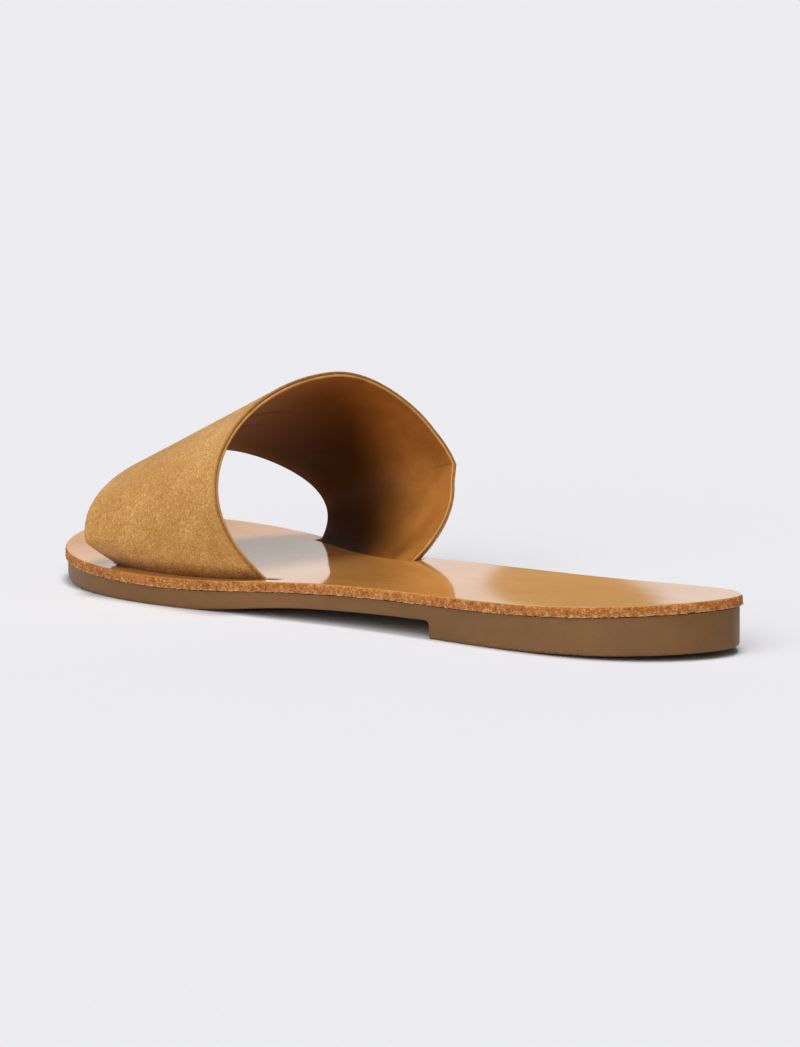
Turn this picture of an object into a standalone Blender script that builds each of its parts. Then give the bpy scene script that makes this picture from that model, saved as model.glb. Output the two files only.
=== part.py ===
"""A flat slide mule for the left foot: a moulded rubber outsole, a leather insole board and one wide band.

Metres, +Z up. The toe points towards -Y, the lateral side is at +X, and the sole stands on z = 0.
"""

from collections import namedtuple
from math import acos, atan2, cos, pi, sin, tan

import bmesh
import bpy
import numpy as np
from mathutils import Matrix, Vector

MM = 0.001
OBJECT_NAME = "mule"

# Driving dimensions in millimetres. "Along" runs from the back of the heel to the toe.
LENGTH = 254.0
BALL_WIDTH = 90.0
LEATHER = 2.8                # insole board
BAND_WALL = 1.9              # suede and lining together
GAP = 0.3                    # clearance between neighbouring pieces
RUBBER_INSET = 0.7           # rubber set back from the board's edge all round
WAIST_RUBBER = 4.3
FOREFOOT_RUBBER = 5.45
WAIST_ENDS = 0.50            # station where the rubber starts to thicken
FOREFOOT_STARTS = 0.66
TOE_RUBBER = 3.15            # at the very tip
TOE_THINS_FROM = 0.89
TOE_THIN_POWER = 1.2

# Heel block: flat spot, lifted back edge and slanted breast
HEEL_FLAT_STARTS = 0.24
HEEL_BACK_LIFT = 2.0
HEEL_LIFT_POWER = 1.5
BREAST_ALONG = 80.1
BREAST_SLANT = 0.2
BREAST_ROUND = 2.0

# Plan of the insole. Width is a share of the ball width.
# Swing is how far its middle lies to the lateral side.
Plan = namedtuple("Plan", "station width swing")
SOLE_PLAN = (
    Plan(0.000, 0.000, 0.0),
    Plan(0.030, 0.362, 2.6),
    Plan(0.080, 0.546, 3.7),
    Plan(0.160, 0.646, 4.3),
    Plan(0.260, 0.660, 4.6),
    Plan(0.360, 0.649, 4.8),
    Plan(0.460, 0.676, 4.7),
    Plan(0.560, 0.767, 4.2),
    Plan(0.660, 0.895, 2.6),
    Plan(0.740, 0.980, 0.0),
    Plan(0.820, 1.000, -3.7),
    Plan(0.890, 0.921, -7.7),
    Plan(0.950, 0.703, -11.7),
    Plan(0.985, 0.418, -14.3),
    Plan(1.000, 0.000, -15.2),
)

# Height of the footbed above the floor, with the raised heel cup, the arch and the toe spring
Side = namedtuple("Side", "station footbed")
SOLE_SIDE = (
    Side(0.00, 16.2),
    Side(0.12, 14.0),
    Side(0.25, 12.6),
    Side(0.36, 12.1),
    Side(0.46, 11.4),
    Side(0.56, 10.1),
    Side(0.64, 8.8),
    Side(0.72, 8.3),
    Side(0.82, 8.7),
    Side(0.92, 10.0),
    Side(1.00, 12.0),
)

# The band's two edges, on its outside face.
# Each edge arches from the lateral foot over the crown to the medial foot. Tuck is the power of its turn
# inwards under the widest place, and inset is from the insole's edge to its foot, on the footbed.
Edge = namedtuple(
    "Edge",
    "lateral_along crown_along medial_along lateral_wide medial_wide lateral_wide_z medial_wide_z "
    "crown_x crown_z lateral_flat medial_flat lateral_tuck medial_tuck lateral_inset medial_inset",
)
REAR_EDGE = Edge(
    lateral_along=145.5, crown_along=163.0, medial_along=139.0,
    lateral_wide=43.9, medial_wide=-49.8,
    lateral_wide_z=30.0, medial_wide_z=36.5,
    crown_x=-11.5, crown_z=64.0,
    lateral_flat=0.010, medial_flat=0.038,
    lateral_tuck=2.0, medial_tuck=2.3,
    lateral_inset=5.5, medial_inset=5.5,
)
FRONT_EDGE = Edge(
    lateral_along=205.0, crown_along=214.0, medial_along=197.5,
    lateral_wide=44.3, medial_wide=-51.0,
    lateral_wide_z=15.4, medial_wide_z=18.5,
    crown_x=-6.5, crown_z=38.5,
    lateral_flat=0.000, medial_flat=0.045,
    lateral_tuck=1.15, medial_tuck=2.0,
    lateral_inset=7.5, medial_inset=3.0,
)
LEAN_POWER = 1.2             # how the lean of an edge builds up from crown to foot
WIDEST_AT = 0.70             # share of the way from crown to foot where the band is widest
SLOT_CLEARANCE = 0.35

# Slots in the insole, and the length that shows past the band behind and in front of it
Slot = namedtuple("Slot", "name side behind ahead")
SLOTS = (
    Slot("lateral_slot", 1.0, 4.5, 1.2),
    Slot("medial_slot", -1.0, 1.2, 2.2),
)

# Soft fold that starts at the rear edge on the medial side: long slope above it, short slope below it
Fold = namedtuple("Fold", "place height above below power reach")
MEDIAL_FOLD = Fold(-0.722, 2.1, 0.170, 0.055, 1.3, 0.42)

# Mesh fineness
PLAN_POINTS = 56             # along each side of the plan
SIDE_POINTS = 44
ROUND_STEPS = 5
BAND_ACROSS = 72
BAND_ALONG = 8
SLOT_ACROSS = 6

Finish = namedtuple("Finish", "name colour roughness")
RUBBER = Finish("taupe_rubber", (0.150, 0.092, 0.052), 0.60)
BOARD = Finish("tan_leather_board", (0.520, 0.270, 0.100), 0.22)
SUEDE = Finish("camel_suede", (0.400, 0.205, 0.058), 0.85)


def spline(knots, values, at):
    """Natural cubic spline through (knots, values), read at the given places."""
    knots, values, at = (np.asarray(row, float) for row in (knots, values, at))
    step = np.diff(knots)
    slope = np.diff(values) / step
    count = len(knots)
    system = np.eye(count)
    right = np.zeros(count)
    for i in range(1, count - 1):
        system[i, i - 1:i + 2] = step[i - 1], 2.0 * (step[i - 1] + step[i]), step[i]
        right[i] = 6.0 * (slope[i] - slope[i - 1])
    bend = np.linalg.solve(system, right)
    i = np.clip(np.searchsorted(knots, at) - 1, 0, count - 2)
    t = at - knots[i]
    first = slope[i] - step[i] * (2.0 * bend[i] + bend[i + 1]) / 6.0
    return values[i] + t * (first + t * (bend[i] / 2.0 + t * (bend[i + 1] - bend[i]) / (6.0 * step[i])))


def ease(value, start, end):
    """Smooth step from 0 at start to 1 at end."""
    t = min(max((value - start) / (end - start), 0.0), 1.0)
    return t * t * (3.0 - 2.0 * t)


def plan_edges(stations):
    """Lateral and medial edge of the insole at stations from 0, the heel, to 1, the toe."""
    angle = np.arccos(1.0 - 2.0 * np.asarray(stations, float))
    knots = [acos(1.0 - 2.0 * row.station) for row in SOLE_PLAN]
    width = BALL_WIDTH * spline(knots, [row.width for row in SOLE_PLAN], angle)
    swing = spline(knots, [row.swing for row in SOLE_PLAN], angle)
    return swing + width / 2.0, swing - width / 2.0


def plan_outline(inset):
    """Closed plan outline as (x, y), moved inwards by the inset."""
    angle = np.linspace(0.0, pi, PLAN_POINTS)
    stations = (1.0 - np.cos(angle)) / 2.0
    lateral, medial = plan_edges(stations)
    y = place_y(stations * LENGTH)
    lateral_side = np.column_stack([lateral, y])
    medial_side = np.column_stack([medial, y])[::-1]
    loop = np.concatenate([lateral_side, medial_side[1:-1]])
    ahead = np.roll(loop, -1, axis=0) - np.roll(loop, 1, axis=0)
    inward = np.column_stack([ahead[:, 1], -ahead[:, 0]])
    return loop + inset * inward / np.linalg.norm(inward, axis=1)[:, None]


def place_y(along):
    return LENGTH / 2.0 - along


def footbed(along):
    """Height of the insole's top face."""
    knots = [row.station for row in SOLE_SIDE]
    return spline(knots, [row.footbed for row in SOLE_SIDE], np.asarray(along, float) / LENGTH)


def rubber_top(along):
    return footbed(along) - LEATHER - GAP


def waist_underside(along):
    """Underside of the rubber in front of the heel: arched waist, flat forefoot, toe spring."""
    thickening = ease(along / LENGTH, WAIST_ENDS, FOREFOOT_STARTS)
    rubber = WAIST_RUBBER + (FOREFOOT_RUBBER - WAIST_RUBBER) * thickening
    towards_tip = max((along / LENGTH - TOE_THINS_FROM) / (1.0 - TOE_THINS_FROM), 0.0)
    rubber -= (FOREFOOT_RUBBER - TOE_RUBBER) * towards_tip ** TOE_THIN_POWER
    return max(float(rubber_top(along)) - rubber, 0.0)


def heel_underside(along):
    lift = max(1.0 - along / (HEEL_FLAT_STARTS * LENGTH), 0.0)
    return HEEL_BACK_LIFT * lift ** HEEL_LIFT_POWER


def rounded_corner(before, corner, after, radius):
    """Points of an arc that rounds the corner of a line through three points."""
    before, corner, after = Vector(before), Vector(corner), Vector(after)
    arm_in = (before - corner).normalized()
    arm_out = (after - corner).normalized()
    half = arm_in.angle(arm_out) / 2.0
    centre = corner + (arm_in + arm_out).normalized() * (radius / sin(half))
    start = corner + arm_in * (radius / tan(half)) - centre
    end = corner + arm_out * (radius / tan(half)) - centre
    first = atan2(start.y, start.x)
    turn = (atan2(end.y, end.x) - first + pi) % (2.0 * pi) - pi
    angles = [first + turn * i / ROUND_STEPS for i in range(ROUND_STEPS + 1)]
    return [(centre.x + radius * cos(angle), centre.y + radius * sin(angle)) for angle in angles]


def outsole_profile():
    """Side outline of the rubber as (along, z), a little longer than the plan at both ends."""
    past = 2.0
    heel = np.linspace(0.0, HEEL_FLAT_STARTS * LENGTH, ROUND_STEPS * 2)
    breast_foot = (BREAST_ALONG, 0.0)
    breast_top = (BREAST_ALONG + BREAST_SLANT, waist_underside(BREAST_ALONG + BREAST_SLANT))
    waist = np.linspace(breast_top[0] + 2.0 * BREAST_ROUND, LENGTH, SIDE_POINTS)
    front = [(float(a), waist_underside(a)) for a in waist]
    top = np.linspace(LENGTH, 0.0, SIDE_POINTS)
    path = [(-past, heel_underside(0.0))]
    path += [(float(a), heel_underside(a)) for a in heel]
    path.append(breast_foot)
    path += rounded_corner(breast_foot, breast_top, front[0], BREAST_ROUND)
    path += front
    path.append((LENGTH + past, front[-1][1]))
    path.append((LENGTH + past, float(rubber_top(LENGTH))))
    path += [(float(a), float(rubber_top(a))) for a in top]
    path.append((-past, float(rubber_top(0.0))))
    return path


def insole_profile():
    """Side outline of the leather board as (along, z)."""
    past = 2.0
    stations = np.concatenate([[-past], np.linspace(0.0, LENGTH, SIDE_POINTS), [LENGTH + past]])
    heights = footbed(np.clip(stations, 0.0, LENGTH))
    upper_line = list(zip(stations, heights))
    lower_line = list(zip(stations, heights - LEATHER))
    return lower_line + upper_line[::-1]


def foot_x(along, side, inset):
    """Where the band's outside face meets the footbed: side is 1 for lateral, -1 for medial."""
    lateral, medial = plan_edges([along / LENGTH])
    edge = lateral[0] if side > 0 else medial[0]
    return edge - side * inset


def arch_point(edge, across):
    """Point of one arch as x, along and z: across is 1 at the lateral end and -1 at the medial end."""
    lateral = across >= 0.0
    wide = edge.lateral_wide if lateral else edge.medial_wide
    wide_z = edge.lateral_wide_z if lateral else edge.medial_wide_z
    flat = edge.lateral_flat if lateral else edge.medial_flat
    tuck = edge.lateral_tuck if lateral else edge.medial_tuck
    foot_along = edge.lateral_along if lateral else edge.medial_along
    inset = edge.lateral_inset if lateral else edge.medial_inset
    foot = foot_x(foot_along, 1 if lateral else -1, inset)
    foot_z = float(footbed(foot_along))
    share = abs(across)
    if share <= WIDEST_AT:
        angle = share / WIDEST_AT * pi / 2.0
        bulge = 1.0 - flat * sin(2.0 * angle) ** 2
        x = edge.crown_x + (wide - edge.crown_x) * sin(angle) * bulge
        z = wide_z + (edge.crown_z - wide_z) * cos(angle) * bulge
    else:
        z = wide_z + (foot_z - LEATHER - wide_z) * (share - WIDEST_AT) / (1.0 - WIDEST_AT)
        x = wide + (foot - wide) * ((wide_z - z) / (wide_z - foot_z)) ** tuck
    drop = (edge.crown_z - z) / (edge.crown_z - foot_z)
    along = edge.crown_along + (foot_along - edge.crown_along) * max(drop, 0.0) ** LEAN_POWER
    return x, along, z


def fold_lift(across, forward):
    """Outward rise of the soft fold, strongest at the rear edge and gone after its reach."""
    fold = MEDIAL_FOLD
    away = across - fold.place
    ridge = max(1.0 - abs(away) / (fold.above if away > 0.0 else fold.below), 0.0)
    return fold.height * ridge ** fold.power * (1.0 - ease(forward, 0.0, fold.reach))


def band_point(across, forward):
    """Outside face of the band, in metres: forward is 0 on the rear edge and 1 on the front edge."""
    between = Edge(*(rear + (front - rear) * forward for rear, front in zip(REAR_EDGE, FRONT_EDGE)))
    x, along, z = arch_point(between, across)
    x -= fold_lift(across, forward)
    return Vector((x, place_y(along), z)) * MM


def new_collection(name):
    collection = bpy.data.collections.new(name)
    bpy.context.scene.collection.children.link(collection)
    return collection


def new_object(name, mesh, collection):
    thing = bpy.data.objects.new(name, mesh)
    collection.objects.link(thing)
    return thing


def prism(name, outline, half_depth, turn, collection):
    """Closed mesh of a flat outline in millimetres, extruded both ways and turned into place."""
    curve = bpy.data.curves.new(name, "CURVE")
    curve.dimensions = "2D"
    curve.fill_mode = "BOTH"
    curve.extrude = half_depth * MM
    line = curve.splines.new("POLY")
    line.points.add(len(outline) - 1)
    for point, (u, v) in zip(line.points, outline):
        point.co = (u * MM, v * MM, 0.0, 1.0)
    line.use_cyclic_u = True
    draft = new_object(name + "_curve", curve, collection)
    evaluated = draft.evaluated_get(bpy.context.evaluated_depsgraph_get())
    mesh = bpy.data.meshes.new_from_object(evaluated)
    bpy.data.objects.remove(draft)
    solid = bmesh.new()
    solid.from_mesh(mesh)
    bmesh.ops.remove_doubles(solid, verts=solid.verts, dist=1e-7)
    bmesh.ops.transform(solid, matrix=turn, verts=solid.verts)
    bmesh.ops.recalc_face_normals(solid, faces=solid.faces)
    solid.to_mesh(mesh)
    solid.free()
    return new_object(name, mesh, collection)


def boolean(target, cutter, operation):
    step = target.modifiers.new(operation.lower(), "BOOLEAN")
    step.object = cutter
    step.operation = operation
    step.solver = "EXACT"
    cutter.hide_render = True
    cutter.display_type = "WIRE"


def paint(thing, finish):
    material = bpy.data.materials.new(finish.name)
    material.use_nodes = True
    shader = material.node_tree.nodes["Principled BSDF"]
    shader.inputs["Base Color"].default_value = (*finish.colour, 1.0)
    shader.inputs["Roughness"].default_value = finish.roughness
    shader.inputs["Metallic"].default_value = 0.0
    thing.data.materials.append(material)


def sole_layer(name, inset, profile, finish, parts, cutters):
    """One layer of the sole: its plan as an upright prism, met by its side outline as a prism across."""
    tall = 40.0
    wide = 90.0
    layer = prism(name, plan_outline(inset), tall, Matrix.Identity(4), parts)
    side_turn = Matrix(((0, 0, 1, 0), (-1, 0, 0, 0), (0, 1, 0, 0), (0, 0, 0, 1)))
    outline = [(along - LENGTH / 2.0, z) for along, z in profile]
    side = prism(name + "_side", outline, wide, side_turn, cutters)
    boolean(layer, side, "INTERSECT")
    paint(layer, finish)
    return layer


def band_sheet(name, across_range, forward_range, across_steps, collection):
    """Open sheet on the band's outside face, with its faces pointing out."""
    sheet = bmesh.new()
    bmesh.ops.create_grid(sheet, x_segments=across_steps, y_segments=BAND_ALONG, size=0.5)
    for vert in sheet.verts:
        across = across_range[1] - (across_range[1] - across_range[0]) * (vert.co.x + 0.5)
        forward = forward_range[0] + (forward_range[1] - forward_range[0]) * (vert.co.y + 0.5)
        vert.co = band_point(across, forward)
    mesh = bpy.data.meshes.new(name)
    sheet.to_mesh(mesh)
    sheet.free()
    return new_object(name, mesh, collection)


def thicken(sheet, inwards, outwards):
    """Wall of even thickness that reaches inwards and outwards from a sheet."""
    wall = sheet.modifiers.new("wall", "SOLIDIFY")
    wall.thickness = (inwards + outwards) * MM
    wall.offset = 2.0 * outwards / (inwards + outwards) - 1.0
    wall.use_even_offset = True
    wall.use_quality_normals = True


def make_upper(parts):
    upper = band_sheet("upper", (-1.0, 1.0), (0.0, 1.0), BAND_ACROSS, parts)
    thicken(upper, BAND_WALL, 0.0)
    upper.data.shade_smooth()
    paint(upper, SUEDE)
    return upper


def cut_slots(insole, cutters):
    """A slot on each side for the band's end, cut with the band's own form and a little longer."""
    band_depth = FRONT_EDGE.crown_along - REAR_EDGE.crown_along
    above_footbed = 0.90
    below_insole = 1.08
    for slot in SLOTS:
        across = sorted((slot.side * above_footbed, slot.side * below_insole))
        forward = (-slot.behind / band_depth, 1.0 + slot.ahead / band_depth)
        cutter = band_sheet(slot.name, across, forward, SLOT_ACROSS, cutters)
        thicken(cutter, BAND_WALL + SLOT_CLEARANCE, SLOT_CLEARANCE)
        boolean(insole, cutter, "DIFFERENCE")


def centre_on_origin(parts, cutters):
    """Carry every piece on one empty, placed so that the whole stands centred over the origin."""
    bpy.context.view_layer.update()
    depsgraph = bpy.context.evaluated_depsgraph_get()
    corners = []
    for thing in parts.objects:
        corners += [vert.co.copy() for vert in thing.evaluated_get(depsgraph).data.vertices]
    low = Vector(min(corner[i] for corner in corners) for i in range(3))
    high = Vector(max(corner[i] for corner in corners) for i in range(3))
    carrier = bpy.data.objects.new(OBJECT_NAME + "_origin", None)
    carrier.location = (-(low.x + high.x) / 2.0, -(low.y + high.y) / 2.0, -low.z)
    for thing in list(parts.objects) + list(cutters.objects):
        thing.parent = carrier
    parts.objects.link(carrier)


def main():
    for thing in list(bpy.data.objects):
        bpy.data.objects.remove(thing)
    parts = new_collection(OBJECT_NAME)
    cutters = new_collection(OBJECT_NAME + "_cutters")
    sole_layer("outsole", RUBBER_INSET, outsole_profile(), RUBBER, parts, cutters)
    insole = sole_layer("insole", 0.0, insole_profile(), BOARD, parts, cutters)
    cut_slots(insole, cutters)
    make_upper(parts)
    centre_on_origin(parts, cutters)


main()
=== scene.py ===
"""Looks of a flat slide mule for the left foot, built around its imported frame.

Metres, +Z up, toe towards -Y, lateral side at +X. Shoe sizes are millimetres: "along" runs from the back of
the heel to the toe, and "across" the band from 1 at its lateral end over the crown to -1 at its medial end.
"""

from collections import namedtuple
from math import acos, pi, radians

import bmesh
import bpy
import numpy as np
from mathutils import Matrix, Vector, noise


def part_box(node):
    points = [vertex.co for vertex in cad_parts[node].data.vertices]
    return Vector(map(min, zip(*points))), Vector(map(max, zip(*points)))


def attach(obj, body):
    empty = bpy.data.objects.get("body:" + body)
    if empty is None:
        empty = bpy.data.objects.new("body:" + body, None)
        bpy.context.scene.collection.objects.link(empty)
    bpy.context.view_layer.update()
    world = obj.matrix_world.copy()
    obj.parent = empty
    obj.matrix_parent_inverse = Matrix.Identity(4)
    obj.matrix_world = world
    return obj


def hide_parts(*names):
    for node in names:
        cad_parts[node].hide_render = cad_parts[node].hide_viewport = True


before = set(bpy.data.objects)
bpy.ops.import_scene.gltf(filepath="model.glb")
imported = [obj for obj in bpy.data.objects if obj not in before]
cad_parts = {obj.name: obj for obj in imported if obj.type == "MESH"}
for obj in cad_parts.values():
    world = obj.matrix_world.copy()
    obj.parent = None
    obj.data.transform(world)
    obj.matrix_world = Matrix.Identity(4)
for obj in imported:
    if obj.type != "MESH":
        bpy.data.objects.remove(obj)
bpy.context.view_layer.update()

MM = 0.001

# Sizes of the sole and the band, as in the solids
insole_low, insole_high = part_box("insole")
LENGTH = (insole_high.y - insole_low.y) / MM
BALL_WIDTH = 90.0
LEATHER = 2.8
BAND_WALL = 1.9
GAP = 0.3
RUBBER_INSET = 0.7
WAIST_RUBBER = 4.3
FOREFOOT_RUBBER = 5.45
WAIST_ENDS = 0.50
FOREFOOT_STARTS = 0.66
TOE_RUBBER = 3.15
TOE_THINS_FROM = 0.89
TOE_THIN_POWER = 1.2
HEEL_FLAT_STARTS = 0.24
HEEL_BACK_LIFT = 2.0
HEEL_LIFT_POWER = 1.5
BREAST_ALONG = 80.1
BREAST_SLANT = 0.2
BREAST_ROUND = 2.0

Plan = namedtuple("Plan", "station width swing")
SOLE_PLAN = (
    Plan(0.000, 0.000, 0.0),
    Plan(0.030, 0.362, 2.6),
    Plan(0.080, 0.546, 3.7),
    Plan(0.160, 0.646, 4.3),
    Plan(0.260, 0.660, 4.6),
    Plan(0.360, 0.649, 4.8),
    Plan(0.460, 0.676, 4.7),
    Plan(0.560, 0.767, 4.2),
    Plan(0.660, 0.895, 2.6),
    Plan(0.740, 0.980, 0.0),
    Plan(0.820, 1.000, -3.7),
    Plan(0.890, 0.921, -7.7),
    Plan(0.950, 0.703, -11.7),
    Plan(0.985, 0.418, -14.3),
    Plan(1.000, 0.000, -15.2),
)

Side = namedtuple("Side", "station footbed")
SOLE_SIDE = (
    Side(0.00, 16.2),
    Side(0.12, 14.0),
    Side(0.25, 12.6),
    Side(0.36, 12.1),
    Side(0.46, 11.4),
    Side(0.56, 10.1),
    Side(0.64, 8.8),
    Side(0.72, 8.3),
    Side(0.82, 8.7),
    Side(0.92, 10.0),
    Side(1.00, 12.0),
)

Edge = namedtuple(
    "Edge",
    "lateral_along crown_along medial_along lateral_wide medial_wide lateral_wide_z medial_wide_z "
    "crown_x crown_z lateral_flat medial_flat lateral_tuck medial_tuck lateral_inset medial_inset",
)
REAR_EDGE = Edge(
    lateral_along=145.5, crown_along=163.0, medial_along=139.0,
    lateral_wide=43.9, medial_wide=-49.8,
    lateral_wide_z=30.0, medial_wide_z=36.5,
    crown_x=-11.5, crown_z=64.0,
    lateral_flat=0.010, medial_flat=0.038,
    lateral_tuck=2.0, medial_tuck=2.3,
    lateral_inset=5.5, medial_inset=5.5,
)
FRONT_EDGE = Edge(
    lateral_along=205.0, crown_along=214.0, medial_along=197.5,
    lateral_wide=44.3, medial_wide=-51.0,
    lateral_wide_z=15.4, medial_wide_z=18.5,
    crown_x=-6.5, crown_z=38.5,
    lateral_flat=0.000, medial_flat=0.045,
    lateral_tuck=1.15, medial_tuck=2.0,
    lateral_inset=7.5, medial_inset=3.0,
)
LEAN_POWER = 1.2
WIDEST_AT = 0.70
SLOT_CLEARANCE = 0.2         # the photo's band is tighter in its slots than the solids can be

Slot = namedtuple("Slot", "name side behind ahead")
SLOTS = (
    Slot("lateral_slot", 1.0, 4.5, 1.2),
    Slot("medial_slot", -1.0, 1.2, 2.2),
)

Fold = namedtuple("Fold", "place height above below power reach")
MEDIAL_FOLD = Fold(-0.722, 2.1, 0.170, 0.055, 1.3, 0.42)

# Finer sizes that the looks add
SPINE_HEEL = 29.0            # the ribs of the sole meshes fan out around the two ends of this line
SPINE_TOE = 214.0
BOARD_ROUND = 0.7            # rounded upper edge of the leather board
BOARD_FRAY = 0.13            # unevenness of its raw edge
FRAY_COARSE = 1.6            # size of the large dents in it, then of the small ones
FRAY_FINE = 0.6
FRAY_FINE_SHARE = 0.6
FRAY_LOW = 1.1               # size and share of the dents along its lower line
FRAY_LOW_SHARE = 1.6
FRAY_LOW_FROM = 0.6
RAW_ENDS_BELOW = 0.15        # the raw side stops this far below the rounded edge
RUBBER_ROUND = 0.9           # rounded lower edge of the rubber
SUEDE_DEPTH = 0.75           # the band's outer layer, then the seam, then the lining
SEAM = 0.12
SUEDE_EDGE_ROUND = 0.35
LINING_EDGE_ROUND = 0.30
EDGE_SKIVE = 0.25            # the lining thins towards the band's edges
SKIVE_WIDTH = 4.0

# Creases of the lining under the crown: they run round the arch and fade out at both ends
Crease = namedtuple("Crease", "forward from_across to_across slant depth half_width")
LINING_CREASES = (
    Crease(0.34, 0.02, 0.34, 0.10, 0.20, 0.020),
    Crease(0.45, -0.14, 0.18, 0.14, 0.30, 0.018),
    Crease(0.54, 0.04, 0.36, -0.06, 0.20, 0.022),
    Crease(0.64, -0.12, 0.16, 0.08, 0.24, 0.018),
)

# Fine tread: ribs across the underside of heel and forefoot
Tread = namedtuple("Tread", "start end margin")
TREADS = (
    Tread(27.0, 62.0, 0.0),
    Tread(152.0, 212.0, 4.0),
)
TREAD_PITCH = 2.2
TREAD_DEPTH = 0.25
GROOVE_FROM = 0.55           # the part of each wave that is sunk, from its edge to its full depth
GROOVE_FULL = 0.85

# Loose fibres along the lower line of the board's raw edge
FIBRE_COUNT = 1500
FIBRE_SEED = 11
FIBRE_LENGTH = (0.35, 1.0)
FIBRE_WIDTH = 0.13
FIBRE_CLUMP = 9.0            # size of the clumps
FIBRE_CHANCE = (-0.5, 0.6)   # a fibre stays where its clump beats a draw from this range
FIBRE_SPREAD = 0.35          # how far above the lower line they take root
FIBRE_FALL = (-1.0, 0.3)
FIBRE_OUTWARD = 0.35

# Mesh fineness
BOARD_STEP = 0.55            # spacing of the ribs along the sole, in millimetres
RUBBER_STEP = 0.5
TOP_RINGS = 12
RAW_RINGS = 8
BAND_ACROSS = 260
BAND_ALONG = 80
EDGE_STEPS = 6
SLOT_ACROSS = 9
SLOT_ALONG = 61
SLOT_FROM = 0.90             # the slots' cutters reach from above the footbed to below the board
SLOT_TO = 1.08
EVEN_SHARE = 0.35            # share of even spacing in the ribs, which else crowd round the two ends
HIDDEN_INSET = 3.0           # first ring of a face that is glued to another
HALVES = (0.0, 0.5, 1.0)
TOP_INSETS = (0.5, 1.5, 3.0)
TREAD_INSETS = (2.5, 4.0)
TREAD_INNER_INSET = 4.5
TREAD_SHARES = (0.0, 0.15, 0.4, 0.7, 1.0)
WALL_SHARES = (0.0, 0.3, 0.6)
NEAR_BREAST = 0.05           # ribs closer to the heel's breast than this give way to its own
WELD = 2e-6                  # points closer than this, in metres, become one
SHARP_DEGREES = 40.0
RUBBER_SHARP_DEGREES = 35.0

# Tints that multiply the colour of suede and lining: painted shade, and one painted highlight; and the
# colour of the pale burr on the raw edge
# painted shade on the suede just above the footbed, where the band curves under
SUEDE_FOOT_PAINTED_SHADE = (0.42, 0.31, 0.22)
# painted shade along the suede's cut edges
SUEDE_RIM_PAINTED_SHADE = (0.72, 0.64, 0.56)
# painted shade far inside the medial half of the lining
DEEP_PAINTED_SHADE = (0.20, 0.17, 0.115)
# painted highlight on the lining under the fold, where its lower face catches the light
FOLD_PAINTED_HIGHLIGHT = (1.28, 1.32, 1.45)
# painted shade in the lining's creases
CREASE_PAINTED_SHADE = (0.60, 0.58, 0.56)
# painted shade on the lining just above the footbed
LINING_FOOT_PAINTED_SHADE = (0.50, 0.47, 0.42)
BURR_COLOUR = (0.68, 0.40, 0.22)

# Where these tints fade in, by millimetres or by the place across the band from 0, medial, to 1, lateral
SUEDE_FOOT_SHADE_FADE = (2.5, 8.0)         # above the footbed, made ragged
SUEDE_RIM_SHADE_FADE = (0.0, 0.4)          # from the band's edges
CROWN_FADE = (0.12, 0.60)            # across, where the shade begins nearer to the rear edge
CROWN_SHIFT = 34.0                   # and by how much nearer
DEEP_FADE = (14.0, 39.0)             # from the rear edge
DEEP_SIDE_FADE = (0.66, 0.26)        # across
DEEP_FRONT_FADE = (60.0, 46.0)       # from the rear edge, where the front edge lets some light in
DEEP_FRONT_SHARE = 0.30
# where the painted highlight under the fold fades in, across and from the rear edge
FOLD_HIGHLIGHT_FADES_ACROSS = ((0.06, 0.12), (0.20, 0.14))
FOLD_HIGHLIGHT_FADES_INSIDE = ((4.0, 10.0), (26.0, 14.0))
CREASE_SHADE_FADE = (0.10, 0.28)           # depth of the crease
LINING_FOOT_SHADE_FADE = (11.0, 0.5)       # above the footbed
LINING_FOOT_SHADE_FROM = (4.0, 11.0)       # from the rear edge
CUT_FADE = (0.35, 0.65)
BURR_FADE = (LEATHER + 1.14, LEATHER + 1.42)     # below the footbed, made ragged

# Camera at the photo's viewing angle, aimed at the middle of the shoe
CAMERA_PLACE = Vector((1.1900, 1.1620, 0.2526))
CAMERA_AIM = Vector((0.0006, 0.0, 0.024))
CAMERA_LENS = 203.0
CAMERA_CLIP = 0.05

# Studio: paper floor, dim room, bright backdrop beyond the shoe with a tan card in it, a broad glow from the
# lateral side and one large soft light overhead
FLOOR_RADIUS = 12.0
FLOOR_SIDES = 96
FLOOR_TONES = ((0.79, 0.79, 0.82), (0.81, 0.81, 0.84))
Sky = namedtuple("Sky", "height room backdrop")
SKY = (
    Sky(0.00, 0.06, 1.00),
    Sky(0.20, 0.06, 1.00),
    Sky(0.40, 0.08, 0.25),
    Sky(1.00, 0.15, 0.00),
)
BACKDROP_AHEAD = Vector((-0.716, -0.698, 0.0))
BACKDROP_SIDE = Vector((-0.698, 0.716, 0.0))
BACKDROP_FROM = 0.70
BACKDROP_FULL = 0.90
WHITE = (0.88, 0.85, 0.82)
TAN = (0.46, 0.30, 0.14)
BACKDROP_REACH = 0.30
BACKDROP = (
    (-0.300, WHITE),
    (0.0098, WHITE),
    (0.0108, TAN),
    (0.0318, TAN),
    (0.0334, WHITE),
    (0.300, WHITE),
)
GLOW_FROM = Vector((0.75, 0.27, 0.60))
GLOW_EDGE = 0.72
GLOW_FULL = 0.90
GLOW_LIGHT = 1.95
SUN_ENERGY = 1.65
SUN_WIDTH_DEGREES = 20.0
SUN_DIRECTION = Vector((0.03, -0.05, -1.0))


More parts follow.
